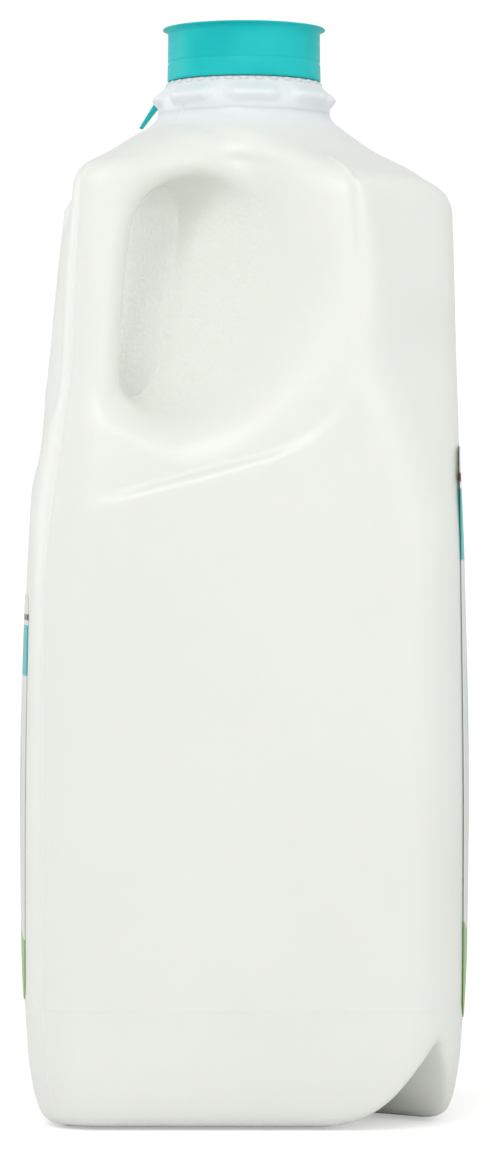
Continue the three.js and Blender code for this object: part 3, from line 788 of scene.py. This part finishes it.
def jug_material():
    """Thin cloudy plastic over milk, bluer above the milk, with a fine grain where the hand goes."""
    material, tree, shader = new_material("jug_plastic", MILK_BEHIND_PLASTIC, 0.36)
    shader.inputs["Subsurface Weight"].default_value = 0.5
    shader.inputs["Subsurface Radius"].default_value = (1.0, 0.95, 0.8)
    shader.inputs["Subsurface Scale"].default_value = 0.0025
    shader.inputs["Coat Weight"].default_value = 0.12
    shader.inputs["Coat Roughness"].default_value = 0.22
    place = add_node(tree, "ShaderNodeTexCoord").outputs["Object"]
    height = add_node(tree, "ShaderNodeSeparateXYZ", {"Vector": place}).outputs["Z"]
    clouds = noise(tree, place, 28, 3)
    milk = blend_colors(tree, spread(tree, clouds, 0.35, 0.7), MILK_BEHIND_PLASTIC, MILK_MOTTLE)
    wavering = math_node(tree, "ADD", height, math_node(tree, "MULTIPLY", clouds, 0.002))
    above = spread(tree, wavering, MILK_LEVEL - 0.002, MILK_LEVEL + 0.0035)
    tree.links.new(blend_colors(tree, above, milk, CLOUDY_PLASTIC), shader.inputs["Base Color"])
    smears = noise(tree, place, 420, 3)
    tree.links.new(spread(tree, smears, 0.3, 0.7, 0.31, 0.43, smooth=False), shader.inputs["Roughness"])
    grain = add_node(tree, "ShaderNodeAttribute", attribute_name="grain").outputs["Fac"]
    pebble_inputs = {"Vector": place, "Scale": PEBBLES_PER_METRE, "Randomness": 1.0}
    pebbles = add_node(tree, "ShaderNodeTexVoronoi", pebble_inputs, feature="SMOOTH_F1").outputs["Distance"]
    amount = spread(tree, grain, 0.0, 0.6, 0.03, 1.0, smooth=False)
    pebbled = bump(tree, math_node(tree, "MULTIPLY", pebbles, amount), PEBBLE_RELIEF, 0.8)
    skin = bump(tree, noise(tree, place, 900, 2), 0.00004, 0.5, pebbled)
    line = band(tree, height, MOULD_LINE_HEIGHT - MOULD_LINE_HALF_WIDTH,
                MOULD_LINE_HEIGHT + MOULD_LINE_HALF_WIDTH, 0.0005)
    lined = bump(tree, line, 0.00012, 0.6, skin)
    waves = bump(tree, noise(tree, place, 22, 1), 0.0009, 0.25, lined)
    tree.links.new(waves, shader.inputs["Normal"])
    return material


CAP_TURQUOISE = (0.03, 0.56, 0.56)
CAP_DARK_PATCH = (0.012, 0.52, 0.53)
CAP_LIGHT_PATCH = (0.022, 0.575, 0.58)


def cap_material():
    """Turquoise moulded plastic with faint turning marks round it."""
    material, tree, shader = new_material("cap_plastic", CAP_TURQUOISE, 0.34)
    shader.inputs["Specular IOR Level"].default_value = 0.1
    shader.inputs["Subsurface Weight"].default_value = 0.08
    shader.inputs["Subsurface Radius"].default_value = (0.2, 1.0, 1.0)
    shader.inputs["Subsurface Scale"].default_value = 0.001
    place = add_node(tree, "ShaderNodeTexCoord").outputs["Object"]
    rings = add_node(tree, "ShaderNodeMapping", {"Vector": place, "Scale": (6, 6, 900)}).outputs["Vector"]
    marks = noise(tree, rings, 1.0, 2)
    patches = noise(tree, place, 90, 2)
    color = blend_colors(tree, spread(tree, patches, 0.35, 0.65), CAP_DARK_PATCH, CAP_LIGHT_PATCH)
    tree.links.new(color, shader.inputs["Base Color"])
    tree.links.new(spread(tree, marks, 0.3, 0.7, 0.3, 0.42, smooth=False), shader.inputs["Roughness"])
    tree.links.new(bump(tree, marks, 0.00008, 0.6), shader.inputs["Normal"])
    return material


PRINT_WHITE = (0.80, 0.81, 0.78)
PRINT_TEAL = (0.03, 0.47, 0.48)
PRINT_PALE = (0.55, 0.76, 0.80)
PRINT_GREEN = (0.30, 0.52, 0.18)
PRINT_BROWN = (0.16, 0.09, 0.05)
PRINT_SCUFF = (0.7, 0.7, 0.68)

# Fields of the print: heights as shares of the label's height, sizes as shares of its width
OVAL_MIDDLE = (0.5, 0.56)
OVAL_SQUASH = 1.35
OVAL_RADIUS = 0.33
OVAL_RULE_RADIUS = 0.345
INNER_OVAL_RADIUS = 0.16
HILL_HEIGHT = 0.17
HILL_RULE_HEIGHT = 0.19
HILL_WAVES = 7.5
HILL_WAVE_HEIGHT = 0.02
HEAD_HEIGHTS = (0.80, 0.925)
RULE_HEIGHTS = (0.937, 0.952)


def label_material(name, height):
    """Printed film in plain fields: a brown rule over a teal head, an oval and a green hill, on white."""
    material, tree, shader = new_material(name, PRINT_WHITE, 0.36)
    place = add_node(tree, "ShaderNodeUVMap", uv_map="print").outputs["UV"]
    axes = add_node(tree, "ShaderNodeSeparateXYZ", {"Vector": place}).outputs
    across, up = axes["X"], axes["Y"]
    tallness = height / (2 * LABEL_HALF_WIDTH)
    oval_shift = {"Vector": place, "Location": (-OVAL_MIDDLE[0], -OVAL_MIDDLE[1] * tallness, 0),
                  "Scale": (1, tallness, 1)}
    oval_space = add_node(tree, "ShaderNodeMapping", oval_shift).outputs["Vector"]
    oval_scale = {"Vector": oval_space, "Scale": (1, OVAL_SQUASH, 1)}
    squashed = add_node(tree, "ShaderNodeMapping", oval_scale).outputs["Vector"]
    radius = add_node(tree, "ShaderNodeVectorMath", {0: squashed}, operation="LENGTH").outputs["Value"]
    wave = math_node(tree, "SINE", math_node(tree, "MULTIPLY", across, HILL_WAVES), 0.0)
    hill = math_node(tree, "ADD", up, math_node(tree, "MULTIPLY", wave, HILL_WAVE_HEIGHT))
    color = PRINT_WHITE
    for value, low, high, ink in (
        (radius, -1, OVAL_RADIUS, PRINT_PALE), (radius, OVAL_RADIUS, OVAL_RULE_RADIUS, PRINT_TEAL),
        (radius, -1, INNER_OVAL_RADIUS, PRINT_WHITE),
        (hill, -1, HILL_HEIGHT, PRINT_GREEN), (hill, HILL_HEIGHT, HILL_RULE_HEIGHT, PRINT_WHITE),
        (up, *HEAD_HEIGHTS, PRINT_TEAL), (up, *RULE_HEIGHTS, PRINT_BROWN),
    ):
        color = blend_colors(tree, band(tree, value, low, high), color, ink)
    speckle = spread(tree, noise(tree, place, 160, 3), 0.3, 0.75)
    worn = blend_colors(tree, math_node(tree, "MULTIPLY", speckle, 0.05), color, PRINT_SCUFF)
    tree.links.new(worn, shader.inputs["Base Color"])
    tree.links.new(spread(tree, speckle, 0, 1, 0.3, 0.42, smooth=False), shader.inputs["Roughness"])
    tree.links.new(bump(tree, noise(tree, place, 40, 3), 0.00006, 0.5), shader.inputs["Normal"])
    return material


jug_plastic = jug_material()
cap_plastic = cap_material()
plain_print = label_material("label_plain_print", PLAIN_LABEL_HEIGHTS[1] - PLAIN_LABEL_HEIGHTS[0])
ledge_print = label_material("label_ledge_print", LEDGE_LABEL_HEIGHTS[1] - LEDGE_LABEL_HEIGHTS[0])

skin = jug_skin()
finish = neck_finish()
teeth = neck_teeth(jug_plastic)
cap = cap_shell()
tab = pull_tab()
plain_label = label_film("label_plain_film", plain_face, (DIAGONAL, -DIAGONAL), PLAIN_LABEL_HEIGHTS)
ledge_label = label_film("label_ledge_film", under_ledge, (-DIAGONAL, DIAGONAL), LEDGE_LABEL_HEIGHTS)

for piece, node, material, slot in (
    (skin, "jug", jug_plastic, "jug_plastic"), (finish, "jug", jug_plastic, "jug_plastic"),
    (teeth, "jug", jug_plastic, "jug_plastic"),
    (cap, "cap", cap_plastic, "cap_plastic"), (tab, "cap", cap_plastic, "cap_plastic"),
    (plain_label, "label_plain_face", plain_print, "label_film"),
    (ledge_label, "label_ledge_face", ledge_print, "label_film"),
):
    if not piece.data.materials:
        piece.data.materials.append(material)
    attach(piece, "root")
    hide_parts(node)


# Stage: floor, room, lamps and camera; the photo's own pixels give the camera's focal length and shift
FLOOR_SIZE = 8
FLOOR_COLOR = (0.88, 0.88, 0.88)
FLOOR_GLOW = 0.39
ROOM_LIGHT = 0.82
CEILING_LIGHT = 0.62
ROOM_SEEN = 1.05
LAMP_AIM = (0, 0, 0.12)
LAMP_DISTANCE = 1.6
CAMERA_HEADING_DEG = 225
CAMERA_DISTANCE = 1.05
CAMERA_HEIGHT = 0.125
SENSOR_WIDTH_MM = 36
PHOTO_HEIGHT_PX = 1156
FOCAL_LENGTH_PX = 4530
SHIFT_PX = (1, -10)


def make_floor():
    """A pale floor that the camera sees nearly white, with the jug's soft shadow on it."""
    bpy.ops.mesh.primitive_plane_add(size=FLOOR_SIZE)
    floor = bpy.context.object
    floor.name = "floor"
    material, tree, shader = new_material("floor_pale", FLOOR_COLOR, 0.8)
    shader.inputs["Specular IOR Level"].default_value = 0.1
    shader.inputs["Emission Color"].default_value = (1, 1, 1, 1)
    seen = add_node(tree, "ShaderNodeLightPath").outputs["Is Camera Ray"]
    tree.links.new(math_node(tree, "MULTIPLY", seen, FLOOR_GLOW), shader.inputs["Emission Strength"])
    floor.data.materials.append(material)


def make_room():
    """White behind the jug, with a softer even light all round it."""
    world = bpy.data.worlds.new("studio")
    world.use_nodes = True
    tree = world.node_tree
    seen = add_node(tree, "ShaderNodeLightPath").outputs["Is Camera Ray"]
    direction = add_node(tree, "ShaderNodeTexCoord").outputs["Generated"]
    upwards = add_node(tree, "ShaderNodeSeparateXYZ", {"Vector": direction}).outputs["Z"]
    around = spread(tree, upwards, 0.2, 0.95, ROOM_LIGHT, CEILING_LIGHT)
    strength = spread(tree, seen, 0, 1, around, ROOM_SEEN, smooth=False)
    tree.links.new(strength, tree.nodes["Background"].inputs["Strength"])
    tree.nodes["Background"].inputs["Color"].default_value = (1, 1, 1, 1)
    bpy.context.scene.world = world
    bpy.context.scene.view_settings.view_transform = "Standard"


def make_lamp(name, heading, height, size, power):
    """A square soft lamp that looks at the jug; heading is in degrees to the left of the camera."""
    turn = math.radians(CAMERA_HEADING_DEG - heading)
    rise = math.radians(height)
    away = Vector((math.cos(turn) * math.cos(rise), math.sin(turn) * math.cos(rise), math.sin(rise)))
    data = bpy.data.lights.new(name, "AREA")
    data.size = size
    data.energy = power
    lamp = bpy.data.objects.new(name, data)
    lamp.location = Vector(LAMP_AIM) + away * LAMP_DISTANCE
    lamp.rotation_euler = (-away).to_track_quat("-Z", "Y").to_euler()
    bpy.context.scene.collection.objects.link(lamp)


def make_camera():
    """Level, on the diagonal that looks straight at one face, with the handle to the left."""
    data = bpy.data.cameras.new("camera")
    data.sensor_width = SENSOR_WIDTH_MM
    data.lens = SENSOR_WIDTH_MM * FOCAL_LENGTH_PX / PHOTO_HEIGHT_PX
    data.shift_x = SHIFT_PX[0] / PHOTO_HEIGHT_PX
    data.shift_y = SHIFT_PX[1] / PHOTO_HEIGHT_PX
    data.clip_start = 0.05
    camera = bpy.data.objects.new("camera", data)
    camera.location = (-CAMERA_DISTANCE * DIAGONAL, -CAMERA_DISTANCE * DIAGONAL, CAMERA_HEIGHT)
    camera.rotation_euler = (math.pi / 2, 0, -math.pi / 4)
    bpy.context.scene.collection.objects.link(camera)
    bpy.context.scene.camera = camera


make_floor()
make_room()
make_lamp("key", 15, 42, 0.7, 6.1)
make_lamp("fill", -38, 10, 1.0, 2.4)
make_lamp("through_the_handle", 112, 12, 0.8, 2.8)
make_camera()
